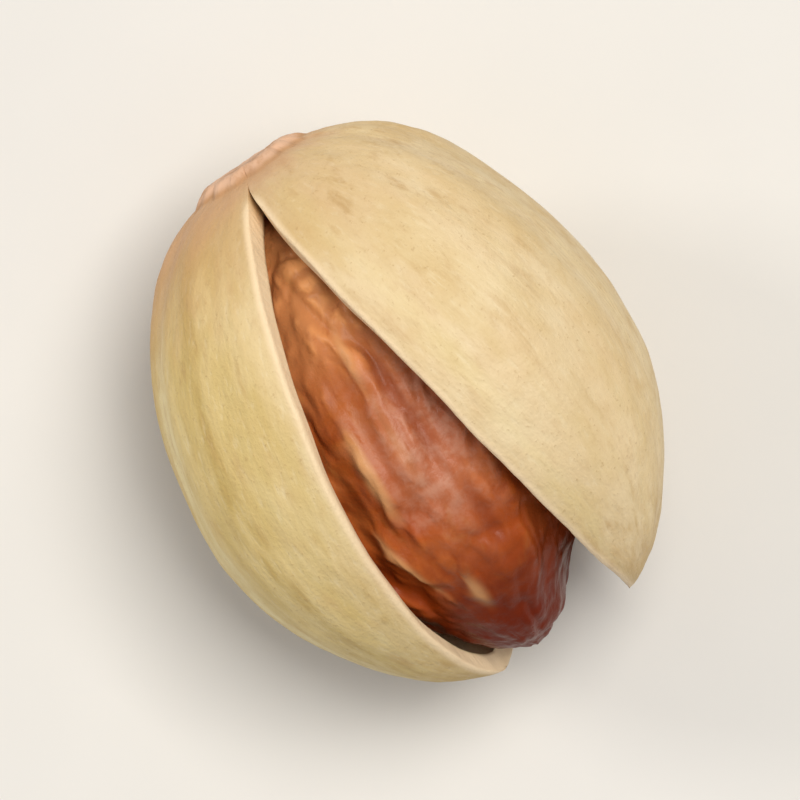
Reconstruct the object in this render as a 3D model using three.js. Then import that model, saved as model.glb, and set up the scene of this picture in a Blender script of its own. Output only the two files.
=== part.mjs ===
// A roasted pistachio lying on its back: a hard shell gaping along its seam, with the loose kernel inside.
// X runs from the stem end to the apex, Y across the two valves, Z up; all lengths are in millimetres.
import * as THREE from "three";
import { mergeVertices } from "three/addons/utils/BufferGeometryUtils.js";

// Outside of the shell with its valves shut: stem to apex, cheek to cheek, back seam to front seam
const shellLength = 17.6;
const shellThickness = 13.1;
const shellDepth = 13.0;

// How each outline ends: 0.5 is round, less is blunter, 1 is a sharp point. Fullness moves bulk to the stem,
// and tip blunts the last of the apex
const cheekEnds = { stem: 0.375, apex: 0.73, fullness: 0.163, tip: 0 };
const seamEnds = { stem: 0.48, apex: 0.62, fullness: 0.03, tip: 0 };

// Wall at the cheeks and back, at the thinner split edge, under the stem scar and at the apex
const wall = 0.85;
const rimWall = 0.55;
const stemWall = 0.9;
const apexWall = 0.7;

// The valves bend apart about a straight line from just above the stem scar to a point on the back seam
const hingeTop = new THREE.Vector2(0.42, 1.6);
const hingeBack = new THREE.Vector2(9.75, -6.42);
const valveSwing = 0.28;
const hingeBend = 1.75;
const leastGap = 0.02;

// Lengthwise ribs on the outside, strongest by the stem
const ribRise = 0.07;
const ribFade = 0.62;

// The stem scar: a low oval boss with a dimple, its two radii across and up
const scarAcross = 1.7;
const scarUp = 1.15;
const scarRise = 0.3;
const scarDimple = 0.15;

// The kernel: its size, where it starts, and how it lies: up at the apex end, and bowed against one valve
const kernelLength = 16.1;
const kernelThickness = 10.4;
const kernelDepth = 10.1;
const kernelStart = 1.4;
const kernelLift = 0.55;
const kernelTilt = THREE.MathUtils.degToRad(2);
const kernelLean = 0.02;
const kernelBow = 0.57;
const kernelCheekEnds = { stem: 0.49, apex: 0.91, fullness: 0.04, tip: 0.16 };
const kernelSeamEnds = { stem: 0.49, apex: 0.71, fullness: 0, tip: 0.16 };
const wrinkleRise = 0.08;

// How the nut lies: turned about its length, nose down, on a small flat spot
const roll = THREE.MathUtils.degToRad(12.5);
const noseDown = THREE.MathUtils.degToRad(4.5);
const flatSpotDepth = 0.32;

// Steps of the surfaces, closer together at the stem
const stemCrowding = 1.2;
const alongSteps = 32;
const outerSteps = 36;
const innerSteps = 14;
const kernelAlongSteps = 26;
const kernelAroundSteps = 40;

// Place from -1 (stem) to 1 (apex) of a share of the way along, with steps crowded at the ends
function placeAt(along) {
  return -Math.cos(Math.PI * Math.pow(along, stemCrowding));
}

// Half-width of an ovoid, as a share of its greatest, at a place from -1 (stem) to 1 (apex)
function ovoid(place, ends) {
  const blunted = ends.tip * THREE.MathUtils.smoothstep(place, 0.75, 1);
  const power = ends.stem + ((ends.apex - ends.stem) * (1 + place)) / 2 - blunted;
  return Math.pow(Math.max(0, 1 - place * place), power) * (1 - ends.fullness * place);
}

// Lengthwise ribs, uneven round the valve, fading towards the apex and out at both seams
function ribHeight(side, along, around) {
  const angle = Math.PI * around;
  const coarse = Math.cos(11 * angle + 0.9 * side);
  const fine = 0.6 * Math.cos(19 * angle - 1.7 * side + 2.5 * along);
  const broad = 0.7 * Math.cos(5 * angle + 2.1 * side);
  const fromStem = THREE.MathUtils.smoothstep(along, 0.06, 0.2);
  const toMiddle = 1 - 0.75 * THREE.MathUtils.smoothstep(along, 0.25, ribFade);
  const toApex = 1 - THREE.MathUtils.smoothstep(along, 0.75, 0.95);
  return ribRise * (coarse + fine + broad) * fromStem * toMiddle * toApex * Math.sin(angle);
}

// How far a valve has moved out from the seam plane at a place on its closed outside
function swing(along, around) {
  const place = placeAt(along);
  const x = (shellLength * (1 + place)) / 2;
  const z = (shellDepth / 2) * ovoid(place, seamEnds) * Math.cos(Math.PI * around);
  const hinge = hingeBack.clone().sub(hingeTop);
  const offset = new THREE.Vector2(x, z).sub(hingeTop);
  const reach = hinge.cross(offset) / hinge.length();
  if (reach <= 0) {
    return 0;
  }
  const moved = (valveSwing * reach * reach) / (reach + hingeBend);
  return moved < leastGap ? 0 : moved;
}

// Outside of a valve: along runs from stem to apex, around from the front seam to the back seam
function outsidePoint(side, along, around) {
  const place = placeAt(along);
  const angle = Math.PI * around;
  const rise = ribHeight(side, along, around);
  const across = (shellThickness / 2) * ovoid(place, cheekEnds);
  const up = (shellDepth / 2) * ovoid(place, seamEnds);
  const y = (across + rise) * Math.sin(angle);
  const z = (up + rise) * Math.cos(angle);
  const fromScar = Math.hypot(y / scarAcross, z / scarUp);
  const boss = scarRise * (1 - THREE.MathUtils.smoothstep(fromScar, 0.8, 1.3));
  const dimple = scarDimple * (1 - THREE.MathUtils.smoothstep(fromScar, 0, 0.7));
  const scar = along < 0.5 ? boss - dimple : 0;
  const x = (shellLength * (1 + place)) / 2 - scar;
  return new THREE.Vector3(x, side * (y + swing(along, around)), z);
}

// Inside of a valve, one wall thickness in, which moves out with the outside
function insidePoint(side, along, around) {
  const place = placeAt(along);
  const angle = Math.PI * around;
  const x = stemWall + ((shellLength - stemWall - apexWall) * (1 + place)) / 2;
  const y = (shellThickness / 2 - wall) * ovoid(place, cheekEnds) * Math.sin(angle);
  const facing = Math.cos(angle);
  const z = (shellDepth / 2 - (facing > 0 ? rimWall : wall)) * ovoid(place, seamEnds) * facing;
  return new THREE.Vector3(x, side * (y + swing(along, around)), z);
}

// Kernel skin: an ovoid with lengthwise wrinkles
function kernelPoint(along, around) {
  const place = placeAt(along);
  const angle = 2 * Math.PI * around;
  const wrinkle = 0.6 * Math.cos(9 * angle + 1.1) + 0.4 * Math.cos(14 * angle - 3 * along);
  const rise = wrinkleRise * wrinkle * Math.sin(Math.PI * along);
  const y = (kernelThickness / 2 + rise) * ovoid(place, kernelCheekEnds) * Math.sin(angle);
  const z = (kernelDepth / 2 + rise) * ovoid(place, kernelSeamEnds) * Math.cos(angle);
  const point = new THREE.Vector3((kernelLength * place) / 2, y, z);
  point.applyAxisAngle(new THREE.Vector3(0, 1, 0), -kernelTilt);
  const aside = kernelLean + kernelBow * ((1 + place) / 2) ** 2;
  return point.add(new THREE.Vector3(kernelStart + kernelLength / 2, -aside, kernelLift));
}

// Adds the triangles of one four-cornered patch, leaving out those with no area
function addPatch(corners, a, b, c, d) {
  for (const [p, q, r] of [[a, b, c], [a, c, d]]) {
    const area = q.clone().sub(p).cross(r.clone().sub(p)).length();
    if (area > 1e-6) {
      corners.push(...p, ...q, ...r);
    }
  }
}

// Adds a surface of along by around patches; a turned surface faces the other way
function addSurface(corners, point, alongCount, aroundCount, turned) {
  for (let i = 0; i < alongCount; i++) {
    for (let j = 0; j < aroundCount; j++) {
      const a = point(i / alongCount, j / aroundCount);
      const b = point((i + 1) / alongCount, j / aroundCount);
      const c = point((i + 1) / alongCount, (j + 1) / aroundCount);
      const d = point(i / alongCount, (j + 1) / aroundCount);
      if (turned) {
        addPatch(corners, d, c, b, a);
      } else {
        addPatch(corners, a, b, c, d);
      }
    }
  }
}

// Adds the broken edge of a valve along one seam, where the valves have parted
function addRim(corners, side, around, turned) {
  for (let i = 0; i < alongSteps; i++) {
    const near = i / alongSteps;
    const far = (i + 1) / alongSteps;
    if (swing(near, around) === 0 && swing(far, around) === 0) {
      continue;
    }
    const a = outsidePoint(side, near, around);
    const b = outsidePoint(side, far, around);
    const c = insidePoint(side, far, around);
    const d = insidePoint(side, near, around);
    if (turned) {
      addPatch(corners, d, c, b, a);
    } else {
      addPatch(corners, a, b, c, d);
    }
  }
}

// One closed surface from its triangles' corners
function closedGeometry(corners) {
  const loose = new THREE.BufferGeometry();
  loose.setAttribute("position", new THREE.Float32BufferAttribute(corners, 3));
  return mergeVertices(loose, 1e-4);
}

// The shell: both valves outside and inside, and their broken edges
const shellCorners = [];
for (const side of [1, -1]) {
  const right = side > 0;
  addSurface(shellCorners, (u, v) => outsidePoint(side, u, v), alongSteps, outerSteps, !right);
  addSurface(shellCorners, (u, v) => insidePoint(side, u, v), alongSteps, innerSteps, right);
  addRim(shellCorners, side, 0, right);
  addRim(shellCorners, side, 1, !right);
}
const shellGeometry = closedGeometry(shellCorners);

// The kernel in its skin
const kernelCorners = [];
addSurface(kernelCorners, kernelPoint, kernelAlongSteps, kernelAroundSteps, false);
const kernelGeometry = closedGeometry(kernelCorners);

// Lay the nut down: turn both pieces, press the flat spot on the shell and stand it on Z = 0
for (const geometry of [shellGeometry, kernelGeometry]) {
  geometry.rotateX(roll);
  geometry.rotateY(noseDown);
}
shellGeometry.computeBoundingBox();
const lowest = shellGeometry.boundingBox.min.z + flatSpotDepth;
const middle = shellGeometry.boundingBox.getCenter(new THREE.Vector3());
const shellPositions = shellGeometry.getAttribute("position");
for (let i = 0; i < shellPositions.count; i++) {
  shellPositions.setZ(i, Math.max(lowest, shellPositions.getZ(i)));
}
for (const geometry of [shellGeometry, kernelGeometry]) {
  geometry.translate(-middle.x, -middle.y, -lowest);
  geometry.computeVertexNormals();
}

// Sun-dried shell and thin kernel skin
const shellMaterial = new THREE.MeshStandardMaterial({ color: "#e2c592", roughness: 0.62, metalness: 0 });
const kernelMaterial = new THREE.MeshStandardMaterial({ color: "#9c5430", roughness: 0.48, metalness: 0 });

const shell = new THREE.Mesh(shellGeometry, shellMaterial);
shell.name = "shell";
const kernel = new THREE.Mesh(kernelGeometry, kernelMaterial);
kernel.name = "kernel";

const pistachio = new THREE.Group();
pistachio.name = "pistachio_in_shell";
pistachio.add(shell, kernel);

export default pistachio;
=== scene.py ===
import math

import bpy
import numpy as np
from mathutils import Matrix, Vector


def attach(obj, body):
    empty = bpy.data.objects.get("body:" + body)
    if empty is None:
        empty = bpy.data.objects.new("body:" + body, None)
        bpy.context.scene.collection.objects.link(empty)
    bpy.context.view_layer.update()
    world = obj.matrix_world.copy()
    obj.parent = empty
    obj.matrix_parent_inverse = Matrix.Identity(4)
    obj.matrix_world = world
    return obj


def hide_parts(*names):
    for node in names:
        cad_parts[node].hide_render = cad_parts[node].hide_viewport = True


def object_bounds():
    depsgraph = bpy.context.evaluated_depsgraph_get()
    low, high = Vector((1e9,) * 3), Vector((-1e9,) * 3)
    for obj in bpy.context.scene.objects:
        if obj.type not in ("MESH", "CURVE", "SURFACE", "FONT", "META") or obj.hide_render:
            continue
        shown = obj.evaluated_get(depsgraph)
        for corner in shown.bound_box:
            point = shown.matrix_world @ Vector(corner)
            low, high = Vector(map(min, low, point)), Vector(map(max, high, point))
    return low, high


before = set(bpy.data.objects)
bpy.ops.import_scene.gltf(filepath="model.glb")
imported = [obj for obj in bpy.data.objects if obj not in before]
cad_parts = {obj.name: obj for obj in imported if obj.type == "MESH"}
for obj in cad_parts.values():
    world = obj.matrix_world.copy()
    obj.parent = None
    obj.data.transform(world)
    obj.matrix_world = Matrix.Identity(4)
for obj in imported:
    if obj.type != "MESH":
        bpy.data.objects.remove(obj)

cad_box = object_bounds()

# The shell is the dry, woody husk of the seed, grown in two valves that meet at a seam.
# Drying sprang it open along the front seam and round the apex. The valves still hold
# together at the stem scar and along the first half of the back seam.
mm = 0.001  # sizes are in millimetres, meshes in metres
shell_length = 17.6  # stem to apex, with the valves shut
shell_thickness = 13.1  # cheek to cheek
shell_depth = 13.0  # back seam to front seam
cheek_ends = (0.375, 0.73, 0.163, 0.0)  # how stem and apex end, fullness to the stem, a blunted tip
seam_ends = (0.48, 0.62, 0.03, 0.0)
wall = 0.85
rim_wall = 0.55
stem_wall = 0.9
apex_wall = 0.7
hinge_top = np.array((0.42, 1.6))  # the line that both valves swing on, along and up
hinge_back = np.array((9.75, -6.42))
valve_swing = 0.28  # radians, well past the hinge line
hinge_bend = 1.75  # the shell bends over about this far before it swings
rib_rise = 0.07
scar_across = 1.7  # half-widths of the stem scar
scar_up = 1.15
scar_rise = 0.3
scar_dimple = 0.15
past_scar = 9.0  # a distance from the scar, in its own half-widths, that is well clear of it
edge_radius = 0.2
edge_wobble = 0.025
wobble_reach = 1.4  # how far from the split edge its uneven line is felt
pale_edge = 0.42  # width of the pale band along the split
grain_girth = 6.5  # the grain is read round this radius and along this half-length, so it is drawn out
grain_length = 2.6
shell_rows = 211
outside_columns = 129
inside_columns = 47
edge_columns = 6
weld_reach = 1e-4  # points nearer than this are one
roll = math.radians(12.5)
nose_down = math.radians(4.5)
flat_spot_depth = 0.32


def smooth(value, low, high):
    """0 below low, 1 above high, and a smooth step between."""
    share = np.clip((value - low) / (high - low), 0.0, 1.0)
    return share * share * (3.0 - 2.0 * share)


def ovoid(place, ends):
    """Half-width of an ovoid, as a share of its greatest, from -1 at the stem to 1 at the apex."""
    stem, apex, fullness, tip = ends
    power = stem + (apex - stem) * (1.0 + place) / 2.0 - tip * smooth(place, 0.75, 1.0)
    return np.maximum(0.0, 1.0 - place * place) ** power * (1.0 - fullness * place)


def swing(place, angle):
    """How far a valve has moved out from the seam plane at a place on its shut outside."""
    hinge = hinge_back - hinge_top
    x = shell_length * (1.0 + place) / 2.0 - hinge_top[0]
    z = shell_depth / 2.0 * ovoid(place, seam_ends) * np.cos(angle) - hinge_top[1]
    reach = np.maximum(0.0, (hinge[0] * z - hinge[1] * x) / np.hypot(*hinge))
    return valve_swing * reach * reach / (reach + hinge_bend)


def rib_beat(side, along, angle):
    """Lengthwise ribs, uneven round the valve: below -1 in the furrows and above 1 on the crests."""
    beat = np.cos(11 * angle + 0.9 * side)
    beat = beat + 0.6 * np.cos(19 * angle - 1.7 * side + 2.5 * along)
    return beat + 0.7 * np.cos(5 * angle + 2.1 * side)


def rounding(from_seam, radius):
    """How far a rounded edge falls away at a distance from the seam."""
    share = np.clip(1.0 - from_seam / np.maximum(radius, 1e-6), 0.0, 1.0)
    return radius * (1.0 - np.sqrt(np.maximum(0.0, 1.0 - share * share)))


def crowded(count, strength):
    """Steps from 0 to 1 that crowd at both ends."""
    even = np.linspace(0.0, 1.0, count)
    return even - strength * np.sin(2 * np.pi * even) / (2 * np.pi)


def valve(side):
    """Rows of closed loops: outside from front seam to back seam, over the edge, and back inside."""
    along = crowded(shell_rows, 0.2)[:, None]
    place = -np.cos(np.pi * along**1.2)
    across = shell_thickness / 2 * ovoid(place, cheek_ends)
    up = shell_depth / 2 * ovoid(place, seam_ends)
    gap = {0.0: swing(place, 0.0), 1.0: swing(place, np.pi)}  # at the front seam and at the back seam

    def loosened(angle):
        """How far a point of the valve has moved: the swing, and an uneven line along the split edge."""
        moved = swing(place, angle)
        for seam, beat in ((0.0, 1.0), (1.0, 1.6)):
            line = np.sin(13 * beat * along + side)
            line = line + 0.6 * np.sin(31 * along - 2 * side) + 0.5 * np.sin(59 * along)
            near = 1 - smooth(across * np.abs(angle - np.pi * seam), 0.0, wobble_reach)
            free = smooth(gap[seam], 0.05, 0.9) * (1 - smooth(along, 0.93, 1.0))
            moved = moved + edge_wobble * line * near * free
        return moved

    angle = np.pi * crowded(outside_columns, 0.86)[None, :]
    fade = smooth(along, 0.06, 0.2) * (1 - smooth(along, 0.75, 0.95))
    fade = fade * (1 - 0.5 * smooth(along, 0.25, 0.62))
    ribs = rib_rise * rib_beat(side, along, angle) * fade * np.sin(angle)
    y = (across + ribs) * np.sin(angle)
    z = (up + ribs) * np.cos(angle)
    crimps = 1 + 0.06 * np.cos(8 * angle) + 0.05 * np.cos(17 * angle) + 0.04 * side * np.sin(angle)
    from_scar = np.hypot(y / scar_across, z / scar_up) * crimps + (along > 0.5) * past_scar
    boss = scar_rise * (1 - smooth(from_scar, 0.85, 1.25))
    boss = boss - scar_dimple * (1 - smooth(from_scar, 0.1, 0.75))
    x = shell_length * (1 + place) / 2 - boss
    radius = {}
    for seam in gap:
        worn = edge_radius * (0.2 + 0.8 * smooth(gap[seam], 0.0, 0.35))
        radius[seam] = np.minimum(worn, 0.3 * across)
    from_front = across * angle
    from_back = across * (np.pi - angle)
    fall = rounding(from_front, radius[0.0]) + rounding(from_back, radius[1.0])
    kept = 1 - fall / np.maximum(np.hypot(y, z), 1e-6)
    outside = np.stack((x, y * kept + loosened(angle), z * kept), axis=-1)

    in_angle = np.pi * crowded(inside_columns, 0.7)[None, ::-1]
    in_across = (shell_thickness / 2 - wall) * ovoid(place, cheek_ends)
    in_up = (shell_depth / 2 - np.where(np.cos(in_angle) > 0, rim_wall, wall)) * ovoid(place, seam_ends)
    y = in_across * np.sin(in_angle)
    z = in_up * np.cos(in_angle)
    x = stem_wall + (shell_length - stem_wall - apex_wall) * (1 + place) / 2 + 0 * y
    fall = rounding(in_across * in_angle, 0.7 * radius[0.0])
    fall = fall + rounding(in_across * (np.pi - in_angle), 0.7 * radius[1.0])
    grown = 1 + fall / np.maximum(np.hypot(y, z), 1e-6)
    inside = np.stack((x, y * grown + loosened(in_angle), z * grown), axis=-1)

    over = np.linspace(0.0, 1.0, edge_columns + 2)[None, 1:-1, None]
    back_edge = outside[:, -1:] * (1 - over) + inside[:, :1] * over
    front_edge = inside[:, -1:] * (1 - over) + outside[:, :1] * over
    points = np.concatenate((outside, back_edge, inside, front_edge), axis=1) * (1, side, 1)

    counts = (outside_columns, edge_columns, inside_columns, edge_columns)
    strip = np.repeat(("outside", "back edge", "inside", "front edge"), counts)[None, :]
    on_outside = strip == "outside"
    on_inside = strip == "inside"
    everywhere = np.zeros((shell_rows, sum(counts)))
    around = (angle[0], np.full(edge_columns, np.pi), in_angle[0], np.zeros(edge_columns))
    around = np.concatenate(around)[None, :]
    unseen = np.zeros((shell_rows, sum(counts[1:])))
    from_seam = np.concatenate((np.minimum(from_front, from_back), unseen), axis=1)
    from_scar = np.concatenate((from_scar, unseen + past_scar), axis=1)
    parted = smooth(np.where(around < np.pi / 2, gap[0.0], gap[1.0]), 0.0, 0.2)
    uneven_scar = from_scar * (1 + 0.3 * side * np.sin(around))
    marks = {
        "along": place / 2 + 0.5 + everywhere,
        "edge": np.where(on_outside, 1 - smooth(from_seam, 0.0, pale_edge), ~on_inside) * parted,
        "inside": on_inside + everywhere,
        "relief": on_outside * smooth(from_seam, 0.05, 1.2) * smooth(along, 0.03, 0.1),
        "scar": 1 - smooth(from_scar, 0.9, 1.35),
        "pit": 1 - smooth(from_scar, 0.0, 0.75),
        "blush": on_outside * (1 - smooth(uneven_scar, 0.8, 3.3)),
        "flank": smooth(around, 0.5, 2.3) + everywhere,
        "valve": 0.5 - 0.5 * side * np.sqrt(np.abs(np.sin(around))) + everywhere,
        "rib": rib_beat(side, along, around) * np.sqrt(np.abs(np.sin(around))),
    }
    marks = {name: values.reshape(-1) for name, values in marks.items()}
    girth = grain_girth * (0.35 + 0.65 * ovoid(place, seam_ends)) + everywhere
    drawn_out = grain_length * place + everywhere
    grain = np.stack((girth * np.cos(around), girth * np.sin(around * side), drawn_out), axis=-1)
    marks["grain"] = grain.reshape(-1, 3)

    column = np.arange(sum(counts))
    on_back_edge = (column >= counts[0] - 1) & (column < counts[0] + counts[1])
    on_front_edge = column >= sum(counts[:3]) - 1
    shut = {seam: (gap[seam][:-1] <= 0) & (gap[seam][1:] <= 0) for seam in gap}
    wanted = ~((shut[0.0] & on_front_edge) | (shut[1.0] & on_back_edge))
    return points, marks, wanted


def loop_faces(wanted, flipped):
    """Four-cornered faces between rows of closed loops, where they are wanted."""
    columns = wanted.shape[1]
    row, column = np.nonzero(wanted)
    after = (column + 1) % columns
    here = row * columns
    below = here + columns
    faces = np.stack((here + column, below + column, below + after, here + after), axis=-1)
    return faces[:, ::-1] if flipped else faces


def turned(first, second, angle):
    """Two coordinates after a turn from the first toward the second."""
    ahead = first * math.cos(angle) - second * math.sin(angle)
    return ahead, first * math.sin(angle) + second * math.cos(angle)


def laid_down(points, middle, lowest):
    """Millimetres in the nut's own frame to metres where the nut lies."""
    x, y, z = np.moveaxis(points.reshape(-1, 3), -1, 0)
    y, z = turned(y, z, roll)
    z, x = turned(z, x, nose_down)
    return np.stack((x - middle[0], y - middle[1], z - lowest), axis=-1) * mm


def welded_piece(name, points, faces, marks):
    """A piece with coinciding points made one, empty faces left out, and its marks at each point."""
    cells = np.round(points / (weld_reach * mm)).astype(np.int64)
    first, place = np.unique(cells, axis=0, return_index=True, return_inverse=True)[1:]
    used, faces_used = np.unique(place.reshape(-1)[faces], return_inverse=True)
    corners = []
    for face in faces_used.reshape(faces.shape).tolist():
        face = [at for turn, at in enumerate(face) if at != face[turn - 1]]
        if len(set(face)) == len(face) > 2:
            corners.append(face)
    mesh = bpy.data.meshes.new(name)
    mesh.from_pydata(points[first[used]].tolist(), [], corners)
    for mark, values in marks.items():
        kind, field = ("FLOAT_VECTOR", "vector") if values.ndim > 1 else ("FLOAT", "value")
        at_points = values[first[used]].astype(np.float32).ravel()
        mesh.attributes.new(mark, kind, "POINT").data.foreach_set(field, at_points)
    mesh.polygons.foreach_set("use_smooth", np.ones(len(mesh.polygons), bool))
    mesh.validate()
    piece = bpy.data.objects.new(name, mesh)
    bpy.context.scene.collection.objects.link(piece)
    return piece


def add(tree, kind, feeds=None, **settings):
    """Adds a node with its settings, and feeds its named or numbered inputs from sockets or values."""
    made = tree.nodes.new(kind)
    for name, value in settings.items():
        setattr(made, name, value)
    for key, value in (feeds or {}).items():
        if isinstance(value, bpy.types.NodeSocket):
            tree.links.new(value, made.inputs[key])
        else:
            made.inputs[key].default_value = value
    return made.outputs


def linear(code):
    """An sRGB hex colour as the linear colour that a shader reads."""
    parts = [int(code[at : at + 2], 16) / 255 for at in (1, 3, 5)]
    parts = [part / 12.92 if part <= 0.04045 else ((part + 0.055) / 1.055) ** 2.4 for part in parts]
    return (*parts, 1.0)


def layered(tree, colour, layers):
    """Lays colours over a ground, each where a pattern passes from low to high and a mask lets it."""
    for pattern, low, high, mask, shade in layers:
        feeds = {"Value": pattern, "From Min": low, "From Max": high}
        share = add(tree, "ShaderNodeMapRange", feeds, interpolation_type="SMOOTHSTEP")["Result"]
        share = add(tree, "ShaderNodeMath", {0: share, 1: mask}, operation="MULTIPLY")["Value"]
        colour = add(tree, "ShaderNodeMix", {0: share, 6: colour, 7: linear(shade)}, data_type="RGBA")[2]
    return colour


def relief_tree(name, sizes):
    """A node tree with a named input for each size, and the modifier input that sets it."""
    tree = bpy.data.node_groups.new(name, "GeometryNodeTree")
    tree.interface.new_socket("Geometry", in_out="OUTPUT", socket_type="NodeSocketGeometry")
    tree.interface.new_socket("Geometry", in_out="INPUT", socket_type="NodeSocketGeometry")
    inputs = {}
    for size, value in sizes.items():
        socket = tree.interface.new_socket(size, in_out="INPUT", socket_type="NodeSocketFloat")
        inputs[socket.identifier] = value
    return tree, inputs


def pressed_into(piece, tree, inputs):
    """Runs a relief tree on a piece and keeps the result as its plain mesh."""
    modifier = piece.modifiers.new(tree.name, "NODES")
    modifier.node_group = tree
    for identifier, value in inputs.items():
        modifier[identifier] = value
    ready = bpy.context.evaluated_depsgraph_get()
    pressed = piece.evaluated_get(ready)
    made = bpy.data.meshes.new_from_object(pressed, preserve_all_data_layers=True, depsgraph=ready)
    piece.modifiers.clear()
    piece.data = made


right_points, right_marks, right_wanted = valve(1)
left_points, left_marks, left_wanted = valve(-1)
shell_points = np.concatenate((right_points.reshape(-1, 3), left_points.reshape(-1, 3)))
shell_marks = {name: np.concatenate((right_marks[name], left_marks[name])) for name in right_marks}
shell_faces = np.concatenate((
    loop_faces(right_wanted, False),
    loop_faces(left_wanted, True) + len(shell_points) // 2,
))
tipped_points = laid_down(shell_points, (0.0, 0.0), 0.0) / mm
shell_middle = (tipped_points.min(0) + tipped_points.max(0)) / 2
shell_lowest = tipped_points[:, 2].min() + flat_spot_depth
shell_placed = laid_down(shell_points, shell_middle, shell_lowest)
shell = welded_piece("nutshell", shell_placed, shell_faces, shell_marks)

# Dried woody nutshell, bare and unpolished: matt and bone-like, cream with olive-tan bands and
# fine fibres that run lengthwise, a pinkish stem end, a pale broken edge and a smooth ivory inside.
shell_look = bpy.data.materials.new("dried_woody_nutshell")
shell_look.use_nodes = True
tree = shell_look.node_tree
tree.nodes.clear()
marks = {}
for name in ("along", "edge", "inside", "scar", "pit", "blush", "flank", "valve", "rib", "grain"):
    field = "Vector" if name == "grain" else "Fac"
    marks[name] = add(tree, "ShaderNodeAttribute", attribute_name=name)[field]
spot = add(tree, "ShaderNodeTexCoord")["Object"]
patterns = {}
for name, coordinate, scale, detail, twist in (
    # name, what it is read on (spots in metres, the grain in millimetres), 1 / size, detail, twist
    ("patches", spot, 1 / (3.6 * mm), 3.0, 0.2),
    ("mottle", spot, 1 / (0.8 * mm), 4.0, 0.0),
    ("grit", spot, 1 / (0.16 * mm), 3.0, 0.0),
    ("bands", marks["grain"], 1 / 1.5, 2.0, 0.1),
    ("streaks", marks["grain"], 1 / 0.6, 5.0, 0.15),
    ("fibres", marks["grain"], 1 / 0.2, 4.0, 0.1),
):
    feeds = {"Vector": coordinate, "Scale": scale, "Detail": detail, "Roughness": 0.58, "Distortion": twist}
    patterns[name] = add(tree, "ShaderNodeTexNoise", feeds)["Fac"]
masks = {}
for name, value, low, high, least, most in (
    ("by_stem", marks["along"], 0.05, 0.5, 0.6, 0.1),
    ("olive", marks["valve"], 0.0, 1.0, 0.12, 0.75),
    ("back", marks["flank"], 0.0, 1.0, 0.15, 0.8),
    ("cream", marks["valve"], 0.1, 0.6, 0.6, 0.0),
):
    feeds = {"Value": value, "From Min": low, "From Max": high, "To Min": least, "To Max": most}
    masks[name] = add(tree, "ShaderNodeMapRange", feeds)["Result"]
frayed = {}  # marks whose borders follow the streaks
for name, weight in (("rib", 2.0), ("along", 0.3), ("blush", 0.7)):
    feeds = {0: patterns["streaks"], 1: weight, 2: marks[name]}
    frayed[name] = add(tree, "ShaderNodeMath", feeds, operation="MULTIPLY_ADD")["Value"]
colour = layered(tree, linear("#dfc598"), (
    (patterns["patches"], 0.42, 0.68, 0.7, "#e9d5ae"),
    (patterns["patches"], 0.48, 0.3, 0.5, "#dbbc8c"),
    # paler cream on the right valve toward the apex: partly its own tone, partly a painted highlight
    (frayed["along"], 0.6, 0.95, masks["cream"], "#f3dcb0"),
    (marks["valve"], 0.4, 0.95, 0.8, "#dec683"),
    (marks["flank"], 0.05, 0.6, masks["olive"], "#cdb06c"),
    (frayed["rib"], 1.3, 2.3, masks["olive"], "#b7994a"),
    (frayed["rib"], 0.7, -0.4, masks["olive"], "#ecdba6"),
    # painted shade: darker brown over the back flanks, the left valve most, for the shade that falls there
    (marks["flank"], 0.5, 0.95, masks["olive"], "#ab8748"),
    (patterns["bands"], 0.44, 0.64, masks["olive"], "#cfb46e"),
    (patterns["mottle"], 0.42, 0.7, masks["back"], "#cfae74"),
    (patterns["streaks"], 0.54, 0.76, masks["by_stem"], "#b8935c"),
    # browner tan toward the apex: partly the shell's own tan tip, partly painted shade
    (frayed["along"], 0.98, 1.14, 0.55, "#c59f5c"),
    (patterns["fibres"], 0.52, 0.76, 0.18, "#b5915e"),
    (patterns["fibres"], 0.46, 0.26, 0.25, "#f2e3c0"),
    (patterns["grit"], 0.6, 0.76, 0.4, "#a98554"),
    (frayed["along"], 0.43, 0.17, masks["olive"], "#bd9059"),
    (frayed["blush"], 0.4, 1.25, 0.8, "#cda077"),
    (marks["scar"], 0.0, 0.4, 0.5, "#ab7a52"),
    (marks["scar"], 0.4, 0.9, 0.85, "#e4ba9b"),
    (patterns["mottle"], 0.46, 0.68, marks["scar"], "#bf9069"),
    (marks["pit"], 0.0, 1.0, 0.7, "#8a5e40"),
    (marks["inside"], 0.0, 1.0, 1.0, "#e4cda4"),
    (marks["edge"], 0.0, 1.0, 0.85, "#f6dcb6"),
    (patterns["streaks"], 0.5, 0.7, 0.1, "#b58c58"),
))
feeds = {"Value": patterns["mottle"], "From Min": 0.3, "From Max": 0.7, "To Min": 0.48, "To Max": 0.64}
roughness = add(tree, "ShaderNodeMapRange", feeds)["Result"]
feeds = {0: marks["inside"], 2: roughness, 3: 0.36}
roughness = add(tree, "ShaderNodeMix", feeds, data_type="FLOAT")[0]
rise = patterns["grit"]
for name, weight in (("fibres", 1.5), ("mottle", 0.8)):
    feeds = {0: patterns[name], 1: weight, 2: rise}
    rise = add(tree, "ShaderNodeMath", feeds, operation="MULTIPLY_ADD")["Value"]
bump = add(tree, "ShaderNodeBump", {"Strength": 0.55, "Distance": 0.05 * mm, "Height": rise})["Normal"]
feeds = {"Base Color": colour, "Roughness": roughness, "Normal": bump, "Specular IOR Level": 0.4}
shader = add(tree, "ShaderNodeBsdfPrincipled", feeds)["BSDF"]
add(tree, "ShaderNodeOutputMaterial", {"Surface": shader})

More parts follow.
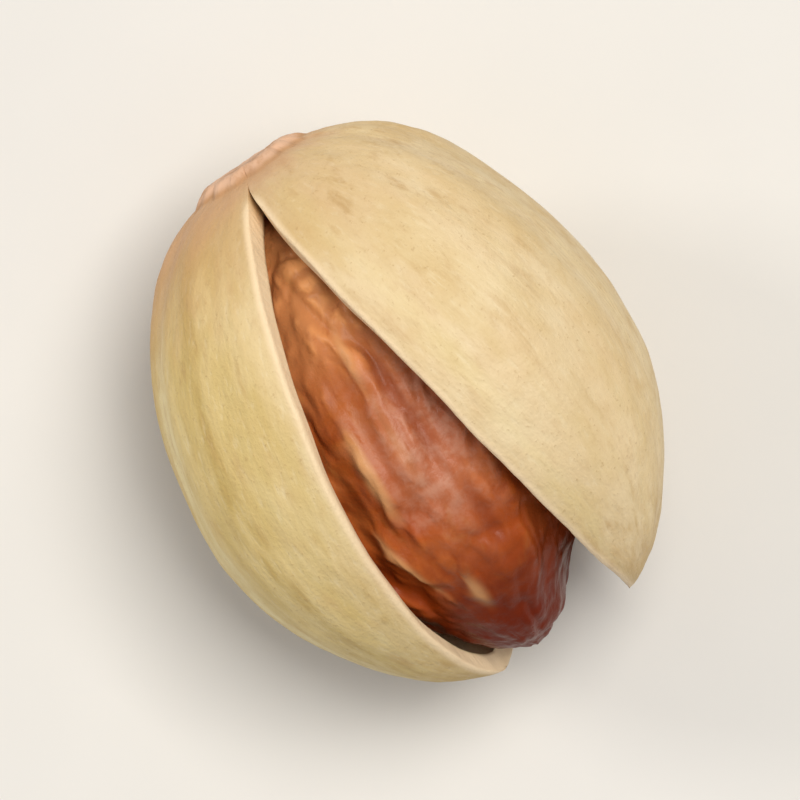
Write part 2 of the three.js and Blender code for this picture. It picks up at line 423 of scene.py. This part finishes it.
# Relief of the shell: uneven ribs and fibres that run lengthwise, soft dents, a rough scar and edge,
# and the flat it lies on.
tree, inputs = relief_tree("shell_relief", {
    "Rib height": 0.11 * mm,
    "Fibre height": 0.025 * mm,
    "Dent depth": 0.14 * mm,
    "Scar roughness": 0.08 * mm,
    "Edge roughness": 0.025 * mm,
    "Seed": 3.7,
})
entry = add(tree, "NodeGroupInput")
marks = {}
for name, kind in (("relief", "FLOAT"), ("scar", "FLOAT"), ("edge", "FLOAT"), ("grain", "FLOAT_VECTOR")):
    marks[name] = add(tree, "GeometryNodeInputNamedAttribute", {"Name": name}, data_type=kind)["Attribute"]
place = add(tree, "GeometryNodeInputPosition")["Position"]
height = 0.0
for size, coordinate, scale, detail, mask in (
    ("Rib height", marks["grain"], 1 / 1.3, 2.0, marks["relief"]),
    ("Fibre height", marks["grain"], 1 / 0.3, 3.0, marks["relief"]),
    ("Dent depth", place, 1 / (5.0 * mm), 1.0, marks["relief"]),
    ("Scar roughness", place, 1 / (0.45 * mm), 4.0, marks["scar"]),
    ("Edge roughness", place, 1 / (0.4 * mm), 3.0, marks["edge"]),
):
    feeds = {"Vector": coordinate, "W": entry["Seed"], "Scale": scale, "Detail": detail}
    swell = add(tree, "ShaderNodeTexNoise", feeds, noise_dimensions="4D")[0]
    swell = add(tree, "ShaderNodeMath", {0: swell, 1: 2.0, 2: -1.0}, operation="MULTIPLY_ADD")[0]
    swell = add(tree, "ShaderNodeMath", {0: swell, 1: entry[size]}, operation="MULTIPLY")[0]
    height = add(tree, "ShaderNodeMath", {0: swell, 1: mask, 2: height}, operation="MULTIPLY_ADD")[0]
outward = add(tree, "GeometryNodeInputNormal")["Normal"]
push = add(tree, "ShaderNodeVectorMath", {0: outward, "Scale": height}, operation="SCALE")["Vector"]
body = add(tree, "GeometryNodeSetPosition", {"Geometry": entry["Geometry"], "Offset": push})["Geometry"]
apart = add(tree, "ShaderNodeSeparateXYZ", {0: place})
level = add(tree, "ShaderNodeMath", {0: apart["Z"], 1: 0.0}, operation="MAXIMUM")[0]
on_table = add(tree, "ShaderNodeCombineXYZ", {"X": apart["X"], "Y": apart["Y"], "Z": level})["Vector"]
body = add(tree, "GeometryNodeSetPosition", {"Geometry": body, "Position": on_table})["Geometry"]
body = add(tree, "GeometryNodeRealizeInstances", {"Geometry": body})["Geometry"]
body = add(tree, "GeometryNodeSetMaterial", {"Geometry": body, "Material": shell_look})["Geometry"]
add(tree, "NodeGroupOutput", {"Geometry": body})
pressed_into(shell, tree, inputs)
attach(shell, "root")
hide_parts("shell")

# The kernel is the seed in its thin papery skin, loose in the shell and leaning to the left valve.
# The skin shrank on the drying seed, so it is creased lengthwise and worn on the crests.
kernel_length = 16.1
kernel_thickness = 10.4
kernel_depth = 10.1
kernel_start = 1.4  # from the shell's stem end
kernel_lift = 0.55  # toward the split
kernel_tilt = math.radians(2)
kernel_lean = 0.02  # toward the left valve at the stem, and how much more at the tip
kernel_bow = 0.74
kernel_cheek_ends = (0.49, 0.91, 0.04, 0.16)
kernel_seam_ends = (0.49, 0.71, 0.0, 0.16)
wrinkle_rise = 0.08
tip_fullness = 0.28  # how far the seed swells toward the left valve, near its tip
tip_place = 0.86
tip_reach = 0.11
kernel_grain_length = 3.4
kernel_rows = 221
kernel_columns = 400

along = crowded(kernel_rows, 0.2)[:, None]
place = -np.cos(np.pi * along)
angle = 2 * np.pi * np.linspace(0.0, 1.0, kernel_columns, endpoint=False)[None, :]
from_stem = (1 + place) / 2
from_front = np.arctan2(np.sin(angle), np.cos(angle))


def spread(middle, turn, lean, reach, width):
    """A soft lengthwise mark on the seed, 1 at its middle and turned by an angle from the front."""
    line = turn + lean * (from_stem - middle)
    return np.exp(-(((from_stem - middle) / reach) ** 2) - ((from_front - line) / width) ** 2)


# The large ridges and grooves: place along the seed, turn and lean, reach along and across, height.
folds = 0.0
for middle, turn, lean, reach, width, height in (
    (0.3, 0.06, -0.3, 0.08, 0.07, 0.12),
    (0.51, 0.06, 0.0, 0.14, 0.08, 0.08),
    (0.53, -0.2, -0.15, 0.11, 0.08, 0.2),
    (0.7, -0.42, 0.4, 0.12, 0.06, 0.18),
    (0.83, -0.1, 0.3, 0.05, 0.12, 0.16),
    (0.46, -0.06, -0.1, 0.2, 0.045, -0.14),
    (0.44, 0.21, 0.2, 0.16, 0.045, -0.18),
    (0.72, 0.34, 0.4, 0.1, 0.06, -0.16),
    (0.55, -0.46, 0.0, 0.06, 0.07, -0.2),
    (0.77, -0.62, 0.8, 0.12, 0.07, -0.2),
    (0.76, -0.2, 0.5, 0.06, 0.05, -0.16),
):
    folds = folds + height * spread(middle, turn, lean, reach, width)
wrinkle = 0.6 * np.cos(9 * angle + 1.1) + 0.4 * np.cos(14 * angle - 3 * along)
rise = wrinkle_rise * wrinkle * np.sin(np.pi * along) + folds
y = (kernel_thickness / 2 + rise) * ovoid(place, kernel_cheek_ends) * np.sin(angle)
z = (kernel_depth / 2 + rise) * ovoid(place, kernel_seam_ends) * np.cos(angle)
x = kernel_length / 2 * place + 0 * y
x, z = turned(x, z, kernel_tilt)
aside = kernel_lean + kernel_bow * from_stem**2
plump = np.maximum(0.0, -np.sin(angle)) ** 2 * np.exp(-(((from_stem - tip_place) / tip_reach) ** 2))
aside = aside + tip_fullness * plump
kernel_points = np.stack((x + kernel_start + kernel_length / 2, y - aside, z + kernel_lift), axis=-1)
girth = kernel_depth / 2 * ovoid(place, kernel_seam_ends)
kernel_marks = {
    "along": from_stem + 0 * y,
    "bloom": spread(0.54, 0.18, 0.0, 0.2, 0.35),
    "fold": folds,
    "calm": smooth(from_stem, 0.0, 0.1) * (1 - 0.45 * smooth(from_stem, 0.72, 0.94)) + 0 * y,
}
kernel_marks = {name: values.reshape(-1) for name, values in kernel_marks.items()}
drawn_out = kernel_grain_length * place + 0 * y
grain = np.stack((girth * np.cos(angle), girth * np.sin(angle), drawn_out), axis=-1)
kernel_marks["grain"] = grain.reshape(-1, 3)
kernel_faces = loop_faces(np.ones((kernel_rows - 1, kernel_columns), bool), False)
kernel_placed = laid_down(kernel_points, shell_middle, shell_lowest)
kernel = welded_piece("kernel_in_skin", kernel_placed, kernel_faces, kernel_marks)

# Papery seed skin, dried and a little oily: orange-brown by the stem, dusty pink over the crown and
# dark red at the tip, with worn tan crests and small soft glints. Painted into the colour are shade in
# the creases and grooves, a deeper red at the tip for shade, lighter orange by the shaded stem end, and
# tan glints on some crests.
kernel_look = bpy.data.materials.new("papery_seed_skin")
kernel_look.use_nodes = True
tree = kernel_look.node_tree
tree.nodes.clear()
marks = {}
for name in ("along", "bloom", "fold", "crease_shade", "grain"):
    field = "Vector" if name == "grain" else "Fac"
    marks[name] = add(tree, "ShaderNodeAttribute", attribute_name=name)[field]
spot = add(tree, "ShaderNodeTexCoord")["Object"]
patterns = {}
for name, coordinate, scale, detail, twist in (
    ("patches", spot, 1 / (2.4 * mm), 4.0, 0.4),
    ("mottle", spot, 1 / (0.5 * mm), 4.0, 0.2),
    ("veins", marks["grain"], 1 / 0.4, 5.0, 0.6),
    ("worn", marks["grain"], 1 / 0.9, 4.0, 0.5),
):
    feeds = {"Vector": coordinate, "Scale": scale, "Detail": detail, "Roughness": 0.6, "Distortion": twist}
    patterns[name] = add(tree, "ShaderNodeTexNoise", feeds)["Fac"]
feeds = {0: patterns["patches"], 1: 0.3, 2: marks["along"]}
to_tip = add(tree, "ShaderNodeMath", feeds, operation="MULTIPLY_ADD")["Value"]
colour = layered(tree, linear("#ba5c24"), (
    (patterns["patches"], 0.42, 0.62, 0.75, "#ca773a"),
    (patterns["patches"], 0.44, 0.32, 0.6, "#a04014"),
    # lighter orange at the stem end: partly the skin's own orange, partly painted light for the shaded slot
    (to_tip, 0.6, 0.32, 0.85, "#efaa6c"),
    (patterns["mottle"], 0.58, 0.76, 0.3, "#964a20"),
    (patterns["worn"], 0.56, 0.76, 0.5, "#d39652"),
    (patterns["veins"], 0.46, 0.28, 0.35, "#98481a"),
    # painted shade: the creases of the relief laid darker red-brown
    (marks["crease_shade"], 0.25, 0.95, 0.38, "#86340f"),
    (marks["bloom"], 0.1, 0.9, 0.7, "#b87050"),
    (patterns["mottle"], 0.34, 0.72, marks["bloom"], "#c68c72"),
    # painted shade: the grooves between the folds laid darker red-brown
    (marks["fold"], -0.03, -0.18, 0.65, "#83350f"),
    # dark red toward the tip: partly the skin's own colour, partly painted shade that deepens it
    (to_tip, 0.76, 1.0, 0.6, "#9a3c10"),
    (to_tip, 0.88, 1.08, 0.88, "#5e1503"),
    # tan on the fold crests: partly worn skin, partly painted glints
    (marks["fold"], 0.03, 0.18, 0.65, "#dcaa74"),
))
feeds = {"Value": patterns["mottle"], "From Min": 0.3, "From Max": 0.7, "To Min": 0.27, "To Max": 0.44}
roughness = add(tree, "ShaderNodeMapRange", feeds)["Result"]
feeds = {0: patterns["veins"], 1: 0.5, 2: patterns["mottle"]}
rise = add(tree, "ShaderNodeMath", feeds, operation="MULTIPLY_ADD")["Value"]
bump = add(tree, "ShaderNodeBump", {"Strength": 0.6, "Distance": 0.07 * mm, "Height": rise})["Normal"]
feeds = {"Base Color": colour, "Roughness": roughness, "Normal": bump, "Specular IOR Level": 0.17}
shader = add(tree, "ShaderNodeBsdfPrincipled", feeds)["BSDF"]
add(tree, "ShaderNodeOutputMaterial", {"Surface": shader})

# Relief of the skin: creases between puffed folds, fine wrinkles and soft lumps, drawn out along
# the seed. The creases are also kept as a mark, which the colours read to paint shade into them.
tree, inputs = relief_tree("skin_relief", {
    "Fold depth": 0.17 * mm,
    "Wrinkle depth": 0.08 * mm,
    "Lump height": 0.26 * mm,
    "Seed": 11.3,
})
entry = add(tree, "NodeGroupInput")
grain = add(tree, "GeometryNodeInputNamedAttribute", {"Name": "grain"}, data_type="FLOAT_VECTOR")["Attribute"]
calm = add(tree, "GeometryNodeInputNamedAttribute", {"Name": "calm"}, data_type="FLOAT")["Attribute"]
place = add(tree, "GeometryNodeInputPosition")["Position"]
feeds = {"Vector": place, "W": entry["Seed"], "Scale": 1 / (2.2 * mm), "Detail": 2.0}
lump = add(tree, "ShaderNodeTexNoise", feeds, noise_dimensions="4D")[0]
lump = add(tree, "ShaderNodeMath", {0: lump, 1: 2.0, 2: -1.0}, operation="MULTIPLY_ADD")[0]
height = add(tree, "ShaderNodeMath", {0: lump, 1: entry["Lump height"]}, operation="MULTIPLY")[0]
crease_shade = 0.0
for size, scale, width in (("Fold depth", 1 / 1.9, 0.34), ("Wrinkle depth", 1 / 0.75, 0.4)):
    feeds = {"Vector": grain, "W": entry["Seed"], "Scale": scale, "Detail": 1.5, "Distortion": 0.5}
    valley = add(tree, "ShaderNodeTexNoise", feeds, noise_dimensions="4D")[0]
    valley = add(tree, "ShaderNodeMath", {0: valley, 1: 2.0, 2: -1.0}, operation="MULTIPLY_ADD")[0]
    valley = add(tree, "ShaderNodeMath", {0: valley}, operation="ABSOLUTE")[0]
    feeds = {"Value": valley, "From Min": 0.0, "From Max": width, "To Min": 1.0, "To Max": 0.0}
    valley = add(tree, "ShaderNodeMapRange", feeds, interpolation_type="SMOOTHSTEP")["Result"]
    valley = add(tree, "ShaderNodeMath", {0: valley, 1: calm}, operation="MULTIPLY")[0]
    crease_shade = add(tree, "ShaderNodeMath", {0: crease_shade, 1: valley}, operation="MAXIMUM")[0]
    sunk = add(tree, "ShaderNodeMath", {0: valley, 1: entry[size]}, operation="MULTIPLY")[0]
    height = add(tree, "ShaderNodeMath", {0: height, 1: sunk}, operation="SUBTRACT")[0]
outward = add(tree, "GeometryNodeInputNormal")["Normal"]
push = add(tree, "ShaderNodeVectorMath", {0: outward, "Scale": height}, operation="SCALE")["Vector"]
# the crease mark kept here is where the colours paint shade
feeds = {"Geometry": entry["Geometry"], "Name": "crease_shade", "Value": crease_shade}
body = add(tree, "GeometryNodeStoreNamedAttribute", feeds, data_type="FLOAT", domain="POINT")["Geometry"]
body = add(tree, "GeometryNodeSetPosition", {"Geometry": body, "Offset": push})["Geometry"]
body = add(tree, "GeometryNodeRealizeInstances", {"Geometry": body})["Geometry"]
body = add(tree, "GeometryNodeSetMaterial", {"Geometry": body, "Material": kernel_look})["Geometry"]
add(tree, "NodeGroupOutput", {"Geometry": body})
pressed_into(kernel, tree, inputs)
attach(kernel, "root")
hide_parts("kernel")

# A plain pale table top, painted matt, with the nut lying loose on it.
# It is large enough to fill every view.
table_reach = 0.6
table_mesh = bpy.data.meshes.new("table_top")
corners = [(table_reach * x, table_reach * y, 0.0) for x, y in ((-1, -1), (1, -1), (1, 1), (-1, 1))]
table_mesh.from_pydata(corners, [], [(0, 1, 2, 3)])
table = bpy.data.objects.new("table_top", table_mesh)
bpy.context.scene.collection.objects.link(table)
table_look = bpy.data.materials.new("matt_white_paint")
table_look.use_nodes = True
tree = table_look.node_tree
tree.nodes.clear()
spot = add(tree, "ShaderNodeTexCoord")["Object"]
flow = add(tree, "ShaderNodeTexNoise", {"Vector": spot, "Scale": 1 / (12 * mm), "Detail": 3.0})["Fac"]
colour = layered(tree, linear("#e1dfdb"), ((flow, 0.3, 0.7, 1.0, "#e4e2de"),))
shader = add(tree, "ShaderNodeBsdfPrincipled", {"Base Color": colour, "Roughness": 0.7})["BSDF"]
add(tree, "ShaderNodeOutputMaterial", {"Surface": shader})
table_mesh.materials.append(table_look)

# A soft light from above, a little beyond the stem and to the right, a weaker one from the left,
# and a pale room.
view_turn = math.radians(55.5)  # how far the camera is turned round the upright
image_up = np.array((-math.sin(view_turn), math.cos(view_turn), 0.0))
image_right = np.array((math.cos(view_turn), math.sin(view_turn), 0.0))
overhead = np.array((0.0, 0.0, 1.0))
lamp_distance = 0.8
for name, toward, width, power in (
    ("softbox", 0.24 * image_up + 0.21 * image_right + 0.95 * overhead, 0.4, 5.2),
    ("side_fill", -0.8 * image_right + 0.25 * image_up + 0.5 * overhead, 0.2, 1.7),
):
    lamp = bpy.data.lights.new(name, "AREA")
    lamp.size = width
    lamp.energy = power
    lamp.color = linear("#fffaf2")[:3]
    light = bpy.data.objects.new(name, lamp)
    direction = toward / np.linalg.norm(toward)
    light.location = lamp_distance * direction
    light.rotation_euler = Vector(direction).to_track_quat("Z", "Y").to_euler()
    bpy.context.scene.collection.objects.link(light)
room = bpy.data.worlds.new("pale_room")
room.use_nodes = True
room.node_tree.nodes["Background"].inputs["Color"].default_value = linear("#f4f6fa")
room.node_tree.nodes["Background"].inputs["Strength"].default_value = 0.32
bpy.context.scene.world = room

# The camera looks straight down, turned so that the nut lies from upper left to lower right,
# with a long lens that keeps the outline free of perspective.
frame_width = 25.0 * mm
camera_data = bpy.data.cameras.new("camera")
camera_data.lens = 500.0
camera_data.sensor_width = 36.0
camera_data.clip_start = 0.01
camera = bpy.data.objects.new("camera", camera_data)
aim_height = 0.6 * cad_box[1][2]
camera.location = (0.0, 0.0, aim_height + frame_width * camera_data.lens / camera_data.sensor_width)
camera.rotation_euler = (0.0, 0.0, view_turn)
bpy.context.scene.collection.objects.link(camera)
bpy.context.scene.camera = camera
bpy.context.scene.view_settings.view_transform = "Standard"
